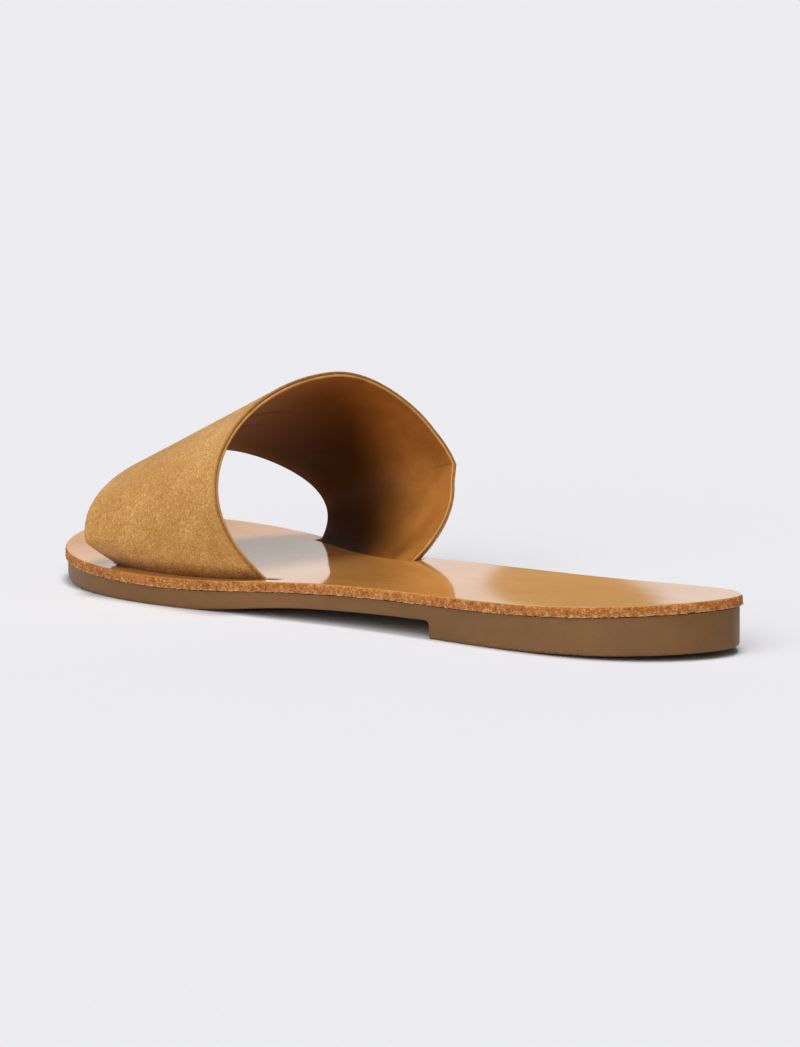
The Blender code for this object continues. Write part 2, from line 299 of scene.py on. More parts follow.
def spline(knots, values, at):
    """Natural cubic spline through (knots, values), read at the given places."""
    knots, values, at = (np.asarray(row, float) for row in (knots, values, at))
    step = np.diff(knots)
    slope = np.diff(values) / step
    count = len(knots)
    system = np.eye(count)
    right = np.zeros(count)
    for i in range(1, count - 1):
        system[i, i - 1:i + 2] = step[i - 1], 2.0 * (step[i - 1] + step[i]), step[i]
        right[i] = 6.0 * (slope[i] - slope[i - 1])
    bend = np.linalg.solve(system, right)
    i = np.clip(np.searchsorted(knots, at) - 1, 0, count - 2)
    t = at - knots[i]
    first = slope[i] - step[i] * (2.0 * bend[i] + bend[i + 1]) / 6.0
    return values[i] + t * (first + t * (bend[i] / 2.0 + t * (bend[i + 1] - bend[i]) / (6.0 * step[i])))


def ease(value, start, end):
    """Smooth step from 0 at start to 1 at end."""
    t = np.clip((np.asarray(value, float) - start) / (end - start), 0.0, 1.0)
    return t * t * (3.0 - 2.0 * t)


def plan_edges(along):
    """Lateral and medial edge of the insole."""
    share = np.clip(np.asarray(along, float) / LENGTH, 0.0, 1.0)
    angle = np.arccos(1.0 - 2.0 * share)
    knots = [acos(1.0 - 2.0 * row.station) for row in SOLE_PLAN]
    width = BALL_WIDTH * spline(knots, [row.width for row in SOLE_PLAN], angle)
    swing = spline(knots, [row.swing for row in SOLE_PLAN], angle)
    return swing + width / 2.0, swing - width / 2.0


def footbed(along):
    """Height of the insole's top face."""
    share = np.clip(np.asarray(along, float) / LENGTH, 0.0, 1.0)
    return spline([row.station for row in SOLE_SIDE], [row.footbed for row in SOLE_SIDE], share)


# The frame's origin is under the middle of the whole shoe, and the tables count from the insole's own middle
SHIFT_X = insole_high.x / MM - plan_edges(np.linspace(0.0, LENGTH, 1001))[0].max()


def to_frame(x, along, z):
    """Points in the part's frame, in metres."""
    along = np.asarray(along, float)
    return np.stack(np.broadcast_arrays(x + SHIFT_X, LENGTH / 2.0 - along, z), axis=-1) * MM


def rubber_top(along):
    return footbed(along) - LEATHER - GAP


def waist_underside(along):
    """Underside of the rubber in front of the heel: arched waist, flat forefoot, toe spring."""
    thickening = ease(along / LENGTH, WAIST_ENDS, FOREFOOT_STARTS)
    rubber = WAIST_RUBBER + (FOREFOOT_RUBBER - WAIST_RUBBER) * thickening
    towards_tip = np.maximum((along / LENGTH - TOE_THINS_FROM) / (1.0 - TOE_THINS_FROM), 0.0)
    rubber = rubber - (FOREFOOT_RUBBER - TOE_RUBBER) * towards_tip ** TOE_THIN_POWER
    return np.maximum(rubber_top(along) - rubber, 0.0)


def heel_underside(along):
    lift = np.maximum(1.0 - along / (HEEL_FLAT_STARTS * LENGTH), 0.0)
    return HEEL_BACK_LIFT * lift ** HEEL_LIFT_POWER


def foot_x(along, side, inset):
    """Where the band's outside face meets the footbed: side is 1 for lateral, -1 for medial."""
    lateral, medial = plan_edges(along)
    return (lateral if side > 0 else medial) - side * inset


def arch_line(edge, across):
    """One arch of the band's outside face as x, along and z."""
    lateral = across >= 0.0

    def pick(of_lateral, of_medial):
        return np.where(lateral, of_lateral, of_medial)

    wide = pick(edge.lateral_wide, edge.medial_wide)
    wide_z = pick(edge.lateral_wide_z, edge.medial_wide_z)
    flat = pick(edge.lateral_flat, edge.medial_flat)
    tuck = pick(edge.lateral_tuck, edge.medial_tuck)
    foot_along = pick(edge.lateral_along, edge.medial_along)
    foot = pick(
        foot_x(edge.lateral_along, 1, edge.lateral_inset),
        foot_x(edge.medial_along, -1, edge.medial_inset),
    )
    foot_z = footbed(foot_along)
    share = np.abs(across)
    angle = np.minimum(share / WIDEST_AT, 1.0) * pi / 2.0
    bulge = 1.0 - flat * np.sin(2.0 * angle) ** 2
    down = np.maximum(share - WIDEST_AT, 0.0) / (1.0 - WIDEST_AT)
    low_z = np.minimum(wide_z + (foot_z - LEATHER - wide_z) * down, wide_z)
    low_x = wide + (foot - wide) * ((wide_z - low_z) / (wide_z - foot_z)) ** tuck
    over = share <= WIDEST_AT
    x = np.where(over, edge.crown_x + (wide - edge.crown_x) * np.sin(angle) * bulge, low_x)
    z = np.where(over, wide_z + (edge.crown_z - wide_z) * np.cos(angle) * bulge, low_z)
    drop = np.maximum((edge.crown_z - z) / (edge.crown_z - foot_z), 0.0)
    along = edge.crown_along + (foot_along - edge.crown_along) * drop ** LEAN_POWER
    return x, along, z


def fold_lift(across, forward):
    """Outward rise of the soft fold, strongest at the rear edge and gone after its reach."""
    fold = MEDIAL_FOLD
    away = across - fold.place
    ridge = np.maximum(1.0 - np.abs(away) / np.where(away > 0.0, fold.above, fold.below), 0.0)
    return fold.height * ridge ** fold.power * (1.0 - ease(forward, 0.0, fold.reach))


def band_rows(across, forward):
    """Outside face of the band, one row of points for each place between rear edge, 0, and front edge, 1."""
    rows = []
    for share in forward:
        between = Edge(*(rear + (front - rear) * share for rear, front in zip(REAR_EDGE, FRONT_EDGE)))
        x, along, z = arch_line(between, across)
        rows.append(to_frame(x - fold_lift(across, share), along, z))
    return np.array(rows)


def unit(vectors):
    return vectors / np.linalg.norm(vectors, axis=-1, keepdims=True)


def add_object(name, mesh):
    thing = bpy.data.objects.new(name, mesh)
    bpy.context.scene.collection.objects.link(thing)
    return thing


def grid_faces(rows, columns, wrap_rows, wrap_columns):
    """Corner indices of the quads of a grid of points, closed on itself where it wraps."""
    row = np.arange(rows if wrap_rows else rows - 1)[:, None]
    column = np.arange(columns if wrap_columns else columns - 1)[None, :]
    next_row = (row + 1) % rows
    next_column = (column + 1) % columns
    corners = np.stack(np.broadcast_arrays(
        row * columns + column,
        row * columns + next_column,
        next_row * columns + next_column,
        next_row * columns + column,
    ), axis=-1)
    return corners.reshape(-1, 4)


def solid_from_grid(name, points, wrap_rows, wrap_columns, sharp_degrees, marks=None, strip_slots=None):
    """Closed, smooth-shaded object from a grid of points, with doubled points welded and open ends capped.

    Marks are named values for the grid's points. strip_slots holds the material slot of each strip between
    two rows.
    """
    rows, columns = points.shape[:2]
    mesh = bpy.data.meshes.new(name)
    faces = grid_faces(rows, columns, wrap_rows, wrap_columns)
    mesh.from_pydata(points.reshape(-1, 3).tolist(), [], faces.tolist())
    for mark, values in (marks or {}).items():
        layer = mesh.attributes.new(mark, "FLOAT", "POINT")
        layer.data.foreach_set("value", np.asarray(values, np.float32).ravel())
    if strip_slots is not None:
        slots = np.repeat(np.asarray(strip_slots, np.int32), len(faces) // len(strip_slots))
        mesh.polygons.foreach_set("material_index", slots)
    solid = bmesh.new()
    solid.from_mesh(mesh)
    bmesh.ops.remove_doubles(solid, verts=solid.verts, dist=WELD)
    bmesh.ops.holes_fill(solid, edges=[edge for edge in solid.edges if edge.is_boundary], sides=0)
    bmesh.ops.recalc_face_normals(solid, faces=solid.faces)
    solid.to_mesh(mesh)
    solid.free()
    mesh.shade_smooth()
    mesh.set_sharp_from_angle(angle=radians(sharp_degrees))
    return add_object(name, mesh)


def sole_loop(along, inset):
    """Plan outline up the lateral side and down the medial side.

    Each of its points comes with its inward direction and with its point on the spine.
    """
    lateral, medial = plan_edges(along)
    around = np.concatenate([along, along[-2:0:-1]])
    x = np.concatenate([lateral, medial[-2:0:-1]])
    ahead_x = np.roll(x, -1) - np.roll(x, 1)
    ahead_a = np.roll(around, -1) - np.roll(around, 1)
    inward = unit(np.column_stack([-ahead_a, ahead_x]))
    loop = np.column_stack([x, around]) + inset * inward
    spine_along = np.clip(around, SPINE_HEEL, SPINE_TOE)
    spine_x = sum(plan_edges(spine_along)) / 2.0
    return loop, inward, np.column_stack([spine_x, spine_along])


def rib_places(step):
    """Places along the sole for its ribs: even on the long sides, closer together round the two ends."""
    count = int(LENGTH / step)
    share = np.linspace(0.0, 1.0, count)
    rounded = (1.0 - np.cos(share * pi)) / 2.0
    return (EVEN_SHARE * share + (1.0 - EVEN_SHARE) * rounded) * LENGTH


def fray(points, size, seed):
    """Small uneven values, one for each point in millimetres."""
    offset = Vector((seed, 0.0, 0.0))
    return np.array([noise.noise(Vector(point) / size + offset) for point in points])


def make_board():
    """Leather insole: smooth top, rounded upper edge, raw cut side with an uneven lower line."""
    loop, inward, spine = sole_loop(rib_places(BOARD_STEP), 0.0)

    def ring(inset, drop, share=0.0):
        place = loop + inset * inward
        place = place + (spine - place) * share
        return np.column_stack([place, footbed(place[:, 1]) - drop])

    def raw_ring(drop):
        points = ring(0.0, drop)
        coarse = fray(points, FRAY_COARSE, seed=3.0)
        fine = fray(points, FRAY_FINE, seed=9.0)
        uneven = BOARD_FRAY * (coarse + FRAY_FINE_SHARE * fine)
        points[:, :2] -= inward * uneven[:, None]
        low = fray(points, FRAY_LOW, seed=17.0)
        points[:, 2] -= FRAY_LOW_SHARE * BOARD_FRAY * low * ease(drop, FRAY_LOW_FROM * LEATHER, LEATHER)
        return points

    turns = np.linspace(0.0, pi / 2.0, EDGE_STEPS)
    rings = [ring(HIDDEN_INSET, LEATHER, share) for share in HALVES[::-1]]
    rings += [raw_ring(drop) for drop in np.linspace(LEATHER, BOARD_ROUND + RAW_ENDS_BELOW, RAW_RINGS)]
    for turn in turns:
        rings.append(ring(BOARD_ROUND * (1.0 - np.cos(turn)), BOARD_ROUND * (1.0 - np.sin(turn))))
    raw_strips = len(rings) - EDGE_STEPS // 2
    rings += [ring(BOARD_ROUND + more, 0.0) for more in TOP_INSETS]
    to_spine = np.linspace(0.0, 1.0, TOP_RINGS + 1)[1:]
    rings += [ring(BOARD_ROUND + TOP_INSETS[-1], 0.0, share) for share in to_spine]
    rings = np.array(rings)
    points = to_frame(rings[..., 0], rings[..., 1], rings[..., 2])
    strip_slots = np.arange(len(rings) - 1) < raw_strips
    marks = {"drop": footbed(rings[..., 1]) - rings[..., 2]}
    board = solid_from_grid("insole_board", points, False, True, SHARP_DEGREES, marks, strip_slots)
    for slot in SLOTS:
        cut_slot(board, slot)
    return board


def cut_slot(board, slot):
    """One slot through the board, in the band's own form and a little longer."""
    depth = FRONT_EDGE.crown_along - REAR_EDGE.crown_along
    across = slot.side * np.linspace(SLOT_FROM, SLOT_TO, SLOT_ACROSS)
    forward = np.linspace(-slot.behind / depth, 1.0 + slot.ahead / depth, SLOT_ALONG)
    cutter = band_layer(slot.name, across, forward, -SLOT_CLEARANCE, BAND_WALL + SLOT_CLEARANCE, 0.0)
    step = board.modifiers.new("slot", "BOOLEAN")
    step.object = cutter
    step.operation = "DIFFERENCE"
    step.solver = "EXACT"
    apply_modifiers(board)
    bpy.data.objects.remove(cutter)


def apply_modifiers(thing):
    depsgraph = bpy.context.evaluated_depsgraph_get()
    mesh = bpy.data.meshes.new_from_object(thing.evaluated_get(depsgraph))
    thing.modifiers.clear()
    thing.data = mesh
    mesh.set_sharp_from_angle(angle=radians(SHARP_DEGREES))


def tread_depth(along, inset):
    """Depth of the fine grooves across the underside."""
    wave = 0.5 - 0.5 * np.cos(2.0 * pi * along / TREAD_PITCH)
    groove = ease(wave, GROOVE_FROM, GROOVE_FULL)
    depth = np.zeros_like(along)
    for tread in TREADS:
        inside = (along > tread.start) & (along < tread.end) & (inset >= tread.margin)
        depth = np.where(inside, TREAD_DEPTH * groove, depth)
    return depth


def breast_profile():
    """Places and heights of the heel's breast, from its foot up to the rounded corner under the waist."""
    top = float(waist_underside(BREAST_ALONG + BREAST_SLANT))
    turn = np.linspace(0.0, pi / 2.0, EDGE_STEPS)
    straight = np.array(HALVES) * (top - BREAST_ROUND)
    along = np.concatenate([
        BREAST_ALONG + BREAST_SLANT * straight / top,
        BREAST_ALONG + BREAST_SLANT + BREAST_ROUND * (1.0 - np.cos(turn))[1:],
    ])
    height = np.concatenate([straight, top - BREAST_ROUND + BREAST_ROUND * np.sin(turn)[1:]])
    return along, height


def make_rubber():
    """Moulded outsole: heel block with breast, arched waist, fine tread, rounded lower edge."""
    breast_along, breast_height = breast_profile()
    along = rib_places(RUBBER_STEP)
    heel = along[along < breast_along[0] - NEAR_BREAST]
    front = along[along > breast_along[-1] + NEAR_BREAST]
    places = np.concatenate([heel, breast_along, front])
    under = np.concatenate([heel_underside(heel), breast_height, waist_underside(front)])
    loop, inward, spine = sole_loop(places, RUBBER_INSET)
    under = np.concatenate([under, under[-2:0:-1]])
    nominal = np.concatenate([places, places[-2:0:-1]])
    fanned = (nominal < SPINE_HEEL) | (nominal > SPINE_TOE)

    def underside(place, inset):
        along = place[:, 1]
        smooth = np.where(along < BREAST_ALONG, heel_underside(along), waist_underside(along))
        return np.where(fanned, smooth, under) + tread_depth(nominal, inset)

    def low_ring(inset, lift, share=0.0):
        place = loop + inset * inward
        place = place + (spine - place) * share
        return np.column_stack([place, underside(place, inset) + lift])

    def high_ring(inset, share):
        place = loop + inset * inward
        place = place + (spine - place) * share
        return np.column_stack([place, rubber_top(place[:, 1])])

    turns = np.linspace(0.0, pi / 2.0, EDGE_STEPS)
    low = [low_ring(RUBBER_ROUND * (1.0 - np.sin(t)), RUBBER_ROUND * (1.0 - np.cos(t))) for t in turns]
    inner = [low_ring(inset, 0.0) for inset in TREAD_INSETS]
    inner += [low_ring(TREAD_INNER_INSET, 0.0, share) for share in TREAD_SHARES]
    upper_rim = high_ring(0.0, 0.0)
    wall = [upper_rim + (low[-1] - upper_rim) * share for share in WALL_SHARES]
    top = [high_ring(HIDDEN_INSET, share) for share in HALVES]
    rings = np.array(inner[::-1] + low + wall[::-1] + top)
    points = to_frame(rings[..., 0], rings[..., 1], rings[..., 2])
    return solid_from_grid("outsole_rubber", points, False, True, RUBBER_SHARP_DEGREES)


def crease_depth(across, forward):
    """Depth of the lining's creases over the grid of the band."""
    depth = np.zeros((len(forward), len(across)))
    for crease in LINING_CREASES:
        middle = crease.forward + crease.slant * (across - crease.from_across)
        away = np.abs(forward[:, None] - middle[None, :]) / crease.half_width
        length = crease.to_across - crease.from_across
        inside = np.clip((across - crease.from_across) / length, 0.0, 1.0)
        depth += crease.depth * np.sin(inside * pi)[None, :] * (1.0 - ease(away, 0.0, 1.0))
    return depth


def band_layer(name, across, forward, depth_out, depth_in, edge_round, inner_relief=0.0, skive=0.0):
    """One layer of the band between two depths under its outside face, with rounded rear and front edges.

    Its marks are "rim", the millimetres to the nearer edge, "cut", 1 on the cut edges, "inside", the
    millimetres from the rear edge, "above", those above the footbed, "lateral", the place across the band
    from 0 at the medial foot to 1 at the lateral foot, and "crease", the depth of the relief that is sunk
    into the layer's inner face.
    """
    face = band_rows(across, forward)
    ahead = unit(np.gradient(face, axis=0))
    out = unit(np.cross(np.gradient(face, axis=1), ahead))
    if across[-1] > across[0]:      # across may run either way, and out always leads away from the foot
        out = -out
    steps = np.linalg.norm(np.diff(face, axis=0), axis=-1) / MM
    gone = np.concatenate([np.zeros((1, len(across))), np.cumsum(steps, axis=0)])
    rim = np.minimum(gone, gone[-1] - gone)
    relief = np.broadcast_to(inner_relief, rim.shape)
    if edge_round > 0.0:
        depth_in = depth_in - relief - skive * (1.0 - ease(rim, 0.0, SKIVE_WIDTH))
    outer = face - out * depth_out * MM
    inner = face - out * np.broadcast_to(depth_in, rim.shape)[..., None] * MM
    for layer in (outer, inner):
        layer[0] += ahead[0] * edge_round * MM
        layer[-1] -= ahead[-1] * edge_round * MM
    section = [outer]
    rims = [rim]
    cuts = [np.zeros_like(rim)]
    insides = [gone]
    creases = [np.zeros_like(rim)]

    def add_edge(row, sign):
        """Rounded cut edge, from the outer to the inner side at the front and back again at the rear."""
        turns = np.linspace(0.0, pi, EDGE_STEPS + 2)[1:-1]
        shares = (1.0 - np.cos(turns)) / 2.0
        for share, reach in zip(shares if sign < 0 else shares[::-1], edge_round * (1.0 - np.sin(turns))):
            between = outer[row] + (inner[row] - outer[row]) * share
            section.append((between + sign * ahead[row] * (reach - edge_round) * MM)[None])
            rims.append(np.zeros((1, len(across))))
            cuts.append(np.ones((1, len(across))))
            insides.append(gone[row][None])
            creases.append(np.zeros((1, len(across))))

    if edge_round > 0.0:
        add_edge(-1, -1.0)
    section.append(inner[::-1])
    rims.append(rim[::-1])
    cuts.append(np.zeros_like(rim))
    insides.append(gone[::-1])
    creases.append(relief[::-1])
    if edge_round > 0.0:
        add_edge(0, 1.0)
    points = np.concatenate(section)
    above = points[..., 2] / MM - footbed(LENGTH / 2.0 - points[..., 1] / MM)
    marks = {
        "rim": np.concatenate(rims),
        "cut": np.concatenate(cuts),
        "inside": np.concatenate(insides),
        "above": above,
        "lateral": np.broadcast_to((across + 1.0) / 2.0, above.shape),
        "crease": np.concatenate(creases),
    }
    return solid_from_grid(name, points, True, False, SHARP_DEGREES, marks)


def make_fibres():
    """Loose pale fibres along the lower line of the raw edge, each a slim closed spike, in clumps."""
    chance = np.random.default_rng(FIBRE_SEED)
    loop, inward, _ = sole_loop(rib_places(BOARD_STEP), 0.0)
    picks = chance.integers(0, len(loop), FIBRE_COUNT)
    clumps = fray([(*loop[pick], 0.0) for pick in picks], FIBRE_CLUMP, seed=31.0)
    picks = picks[clumps > chance.uniform(*FIBRE_CHANCE, FIBRE_COUNT)]
    count = len(picks)
    drop = LEATHER - np.abs(chance.normal(0.0, FIBRE_SPREAD, count))
    root = np.column_stack([loop[picks], footbed(loop[picks][:, 1]) - drop])
    outward = np.column_stack([-inward[picks], np.zeros(count)])
    sideways = np.column_stack([inward[picks][:, 1], -inward[picks][:, 0], np.zeros(count)])
    lean = chance.normal(0.0, 1.0, count)[:, None] * sideways
    fall = chance.uniform(*FIBRE_FALL, count)[:, None] * np.array([0.0, 0.0, 1.0])
    length = chance.uniform(*FIBRE_LENGTH, count)[:, None]
    tip = root + length * unit(FIBRE_OUTWARD * outward + lean + fall)
    across = unit(np.cross(tip - root, outward)) * FIBRE_WIDTH / 2.0
    corners = np.stack([root - across, root + across, root + outward * FIBRE_WIDTH, tip], axis=1)
    points = to_frame(corners[..., 0], corners[..., 1], corners[..., 2]).reshape(-1, 3)
    spike = np.array([(0, 1, 2), (0, 3, 1), (1, 3, 2), (2, 3, 0)])
    faces = (np.arange(count)[:, None, None] * corners.shape[1] + spike).reshape(-1, 3)
    mesh = bpy.data.meshes.new("edge_fibres")
    mesh.from_pydata(points.tolist(), [], faces.tolist())
    solid = bmesh.new()
    solid.from_mesh(mesh)
    bmesh.ops.recalc_face_normals(solid, faces=solid.faces)
    solid.to_mesh(mesh)
    solid.free()
    return add_object("edge_fibres", mesh)


class Nodes:
    """A node tree whose nodes are added one by one."""

    def __init__(self, tree):
        self.tree = tree

    def fill(self, socket, value):
        if isinstance(value, bpy.types.NodeSocket):
            self.tree.links.new(value, socket)
        elif isinstance(value, tuple) and len(value) == 3 and socket.type == "RGBA":
            socket.default_value = (*value, 1.0)
        else:
            socket.default_value = value

    def add(self, kind, inputs, **settings):
        node = self.tree.nodes.new(kind)
        for name, value in settings.items():
            setattr(node, name, value)
        for socket, value in inputs.items():
            self.fill(node.inputs[socket], value)
        return node

    def blend(self, *parts):
        """Weighted sum of (value, weight) pairs."""
        total = 0.0
        for value, weight in parts:
            node = self.add("ShaderNodeMath", {0: value, 1: weight, 2: total}, operation="MULTIPLY_ADD")
            total = node.outputs[0]
        return total

    def times(self, first, second):
        return self.add("ShaderNodeMath", {0: first, 1: second}, operation="MULTIPLY").outputs[0]

    def between(self, value, start, end):
        """0 before the start and 1 past the end, with a smooth step between them."""
        inputs = {"Value": value, "From Min": start, "From Max": end}
        return self.add("ShaderNodeMapRange", inputs, interpolation_type="SMOOTHSTEP").outputs["Result"]

    def ramp(self, value, *stops):
        """Colour ramp through (place, colour) stops."""
        node = self.add("ShaderNodeValToRGB", {"Fac": value})
        ramp = node.color_ramp
        while len(ramp.elements) < len(stops):
            ramp.elements.new(0.5)
        for element, (place, colour) in zip(ramp.elements, stops):
            element.position = place
            element.color = (*colour, 1.0)
        return node.outputs["Color"]

    def mix(self, share, first, second, blend_type="MIX"):
        inputs = {0: share, 6: first, 7: second}
        return self.add("ShaderNodeMix", inputs, data_type="RGBA", blend_type=blend_type).outputs[2]


class Paint(Nodes):
    """A material whose nodes are added one by one. Sizes are in millimetres."""

    def __init__(self, name, sockets):
        self.material = bpy.data.materials.new(name)
        self.material.use_nodes = True
        super().__init__(self.material.node_tree)
        self.shader = self.tree.nodes["Principled BSDF"]
        for socket, value in sockets.items():
            self.shader.inputs[socket].default_value = value
        self.place = self.add("ShaderNodeTexCoord", {}).outputs["Object"]

    def noise(self, size, detail=2.0, rough=0.5, stretch=(1.0, 1.0, 1.0)):
        """Noise around 0.5 with blotches of about the given size, drawn out by the stretch."""
        scale = tuple(1.0 / (size * MM * pull) for pull in stretch)
        place = self.add("ShaderNodeMapping", {"Vector": self.place, "Scale": scale}).outputs["Vector"]
        inputs = {"Vector": place, "Scale": 1.0, "Detail": detail, "Roughness": rough}
        return self.add("ShaderNodeTexNoise", inputs).outputs["Fac"]

    def mark(self, name):
        return self.add("ShaderNodeAttribute", {}, attribute_name=name).outputs["Fac"]

    def bump(self, height, depth, normal=None):
        inputs = {"Height": height, "Distance": depth * MM, "Strength": 1.0}
        if normal is not None:
            inputs["Normal"] = normal
        return self.add("ShaderNodeBump", inputs).outputs["Normal"]

    def tinted(self, colour, tint):
        return self.mix(1.0, colour, tint, "MULTIPLY")

    def set(self, socket, value):
        self.tree.links.new(value, self.shader.inputs[socket])


def suede_material():
    """Napped golden suede: light and dark specks, soft clouds, painted shade towards the foot and along the
    rims.
    """
    paint = Paint("camel_suede", {
        "Roughness": 0.95, "Specular IOR Level": 0.15,
        "Sheen Weight": 0.25, "Sheen Roughness": 0.45, "Sheen Tint": (1.0, 0.82, 0.58, 1.0),
    })
    cloud = paint.noise(22.0, 3.0, 0.55)
    patch = paint.noise(4.5, 4.0, 0.6)
    speck = paint.noise(0.42, 2.0, 0.6)
    fleck = paint.noise(0.85, 3.0, 0.65)
    tone = paint.blend((cloud, 0.18), (patch, 0.12), (speck, 0.42), (fleck, 0.28))
    colour = paint.ramp(
        tone, (0.40, (0.37, 0.160, 0.034)), (0.47, (0.485, 0.236, 0.060)),
        (0.53, (0.56, 0.288, 0.080)), (0.60, (0.74, 0.445, 0.165)),
    )
    # painted shade on the suede towards the footbed, with a ragged upper edge
    ragged = paint.blend((paint.mark("above"), 1.0), (patch, 3.0), (speck, 3.0))
    foot = paint.between(ragged, *SUEDE_FOOT_SHADE_FADE)
    colour = paint.mix(foot, paint.tinted(colour, SUEDE_FOOT_PAINTED_SHADE), colour)
    # painted shade along the rims
    rim = paint.between(paint.mark("rim"), *SUEDE_RIM_SHADE_FADE)
    colour = paint.mix(rim, paint.tinted(colour, SUEDE_RIM_PAINTED_SHADE), colour)
    paint.set("Base Color", colour)
    paint.set("Normal", paint.bump(speck, 0.14, paint.bump(patch, 0.08)))
    return paint.material


def lining_material():
    """Smooth brown lining leather with fine pores and a golden cut edge.

    Painted shade: inside the medial half, in its creases and at its foot. Painted highlight: under the fold.
    """
    paint = Paint("brown_lining", {"Specular IOR Level": 0.2})
    cloud = paint.noise(26.0, 3.0, 0.55)
    patch = paint.noise(6.0, 3.0, 0.6)
    pore = paint.noise(0.8, 2.0, 0.6)
    tone = paint.blend((cloud, 0.55), (patch, 0.30), (pore, 0.15))
    colour = paint.ramp(
        tone, (0.36, (0.30, 0.107, 0.018)), (0.50, (0.385, 0.146, 0.026)), (0.64, (0.46, 0.186, 0.037)),
    )
    lateral = paint.mark("lateral")
    inside = paint.mark("inside")
    # painted shade far inside the medial half: it starts nearer to the rear edge under the crown and lifts
    # near the front edge
    crown = paint.between(lateral, *CROWN_FADE)
    deep_shade = paint.between(paint.blend((inside, 1.0), (crown, CROWN_SHIFT)), *DEEP_FADE)
    deep_shade = paint.times(deep_shade, paint.between(lateral, *DEEP_SIDE_FADE))
    shade = (paint.between(inside, *DEEP_FRONT_FADE), DEEP_FRONT_SHARE)
    deep_shade = paint.times(deep_shade, paint.blend(shade, (1.0, 1.0 - DEEP_FRONT_SHARE)))
    colour = paint.mix(deep_shade, colour, paint.tinted(colour, DEEP_PAINTED_SHADE))
    # painted highlight under the fold
    highlight_across = paint.times(*(paint.between(lateral, *fade) for fade in FOLD_HIGHLIGHT_FADES_ACROSS))
    highlight_inside = paint.times(*(paint.between(inside, *fade) for fade in FOLD_HIGHLIGHT_FADES_INSIDE))
    colour = paint.mix(paint.times(highlight_across, highlight_inside), colour, paint.tinted(colour, FOLD_PAINTED_HIGHLIGHT))
    # painted shade along the creases
    crease = paint.between(paint.blend((paint.mark("crease"), 1.0), (patch, 0.12)), *CREASE_SHADE_FADE)
    colour = paint.mix(crease, colour, paint.tinted(colour, CREASE_PAINTED_SHADE))
    # painted shade just above the footbed, away from the rear edge
    foot = paint.between(paint.mark("above"), *LINING_FOOT_SHADE_FADE)
    foot = paint.times(foot, paint.between(inside, *LINING_FOOT_SHADE_FROM))
    colour = paint.mix(foot, colour, paint.tinted(colour, LINING_FOOT_PAINTED_SHADE))
    edge = paint.ramp(patch, (0.35, (0.48, 0.225, 0.062)), (0.65, (0.64, 0.34, 0.110)))
    colour = paint.mix(paint.between(paint.mark("cut"), *CUT_FADE), colour, edge)
    paint.set("Base Color", colour)
    paint.set("Roughness", paint.ramp(patch, (0.3, (0.52, 0.52, 0.52)), (0.7, (0.66, 0.66, 0.66))))
    paint.set("Normal", paint.bump(pore, 0.03, paint.bump(patch, 0.08)))
    return paint.material


def polished_material():
    """Polished natural leather: tan with faint drawn grain under a clear, slightly wavy gloss."""
    paint = Paint("polished_leather", {
        "Roughness": 0.5, "Specular IOR Level": 0.0,
        "Coat Weight": 1.0, "Coat Roughness": 0.07, "Coat IOR": 1.5,
    })
    cloud = paint.noise(34.0, 3.0, 0.5)
    grain = paint.noise(1.6, 3.0, 0.6, (1.0, 7.0, 1.0))
    pore = paint.noise(0.6, 2.0, 0.6)
    tone = paint.blend((cloud, 0.55), (grain, 0.30), (pore, 0.15))
    colour = paint.ramp(
        tone, (0.36, (0.58, 0.236, 0.050)), (0.50, (0.65, 0.285, 0.070)), (0.64, (0.71, 0.338, 0.098)),
    )
    paint.set("Base Color", colour)
    wave = paint.noise(16.0, 2.0, 0.5, (1.0, 2.2, 1.0))
    paint.set("Normal", paint.bump(pore, 0.02))
    paint.set("Coat Normal", paint.bump(grain, 0.004, paint.bump(wave, 0.03)))
    return paint.material


def raw_material():
    """Raw cut leather: orange-brown fibres with dark pits and pale ends, and a pale burr below."""
    paint = Paint("raw_leather", {"Roughness": 0.9, "Specular IOR Level": 0.25})
    fibre = paint.noise(0.42, 4.0, 0.72, (1.5, 1.5, 0.8))
    clump = paint.noise(1.6, 3.0, 0.6)
    tone = paint.blend((fibre, 0.66), (clump, 0.34))
    colour = paint.ramp(
        tone, (0.35, (0.10, 0.028, 0.005)), (0.44, (0.35, 0.117, 0.025)),
        (0.53, (0.53, 0.198, 0.047)), (0.63, (0.82, 0.43, 0.165)),
    )
    ragged = paint.blend((paint.mark("drop"), 1.0), (clump, 1.5), (fibre, 1.2))
    burr = paint.between(ragged, *BURR_FADE)
    paint.set("Base Color", paint.mix(burr, colour, BURR_COLOUR))
    paint.set("Normal", paint.bump(fibre, 0.30, paint.bump(clump, 0.25)))
    return paint.material


def fibre_material():
    paint = Paint("pale_fibre", {"Roughness": 0.85, "Specular IOR Level": 0.2})
    tone = paint.noise(2.0, 2.0, 0.5)
    paint.set("Base Color", paint.ramp(tone, (0.35, (0.55, 0.27, 0.10)), (0.65, (0.82, 0.58, 0.36))))
    return paint.material


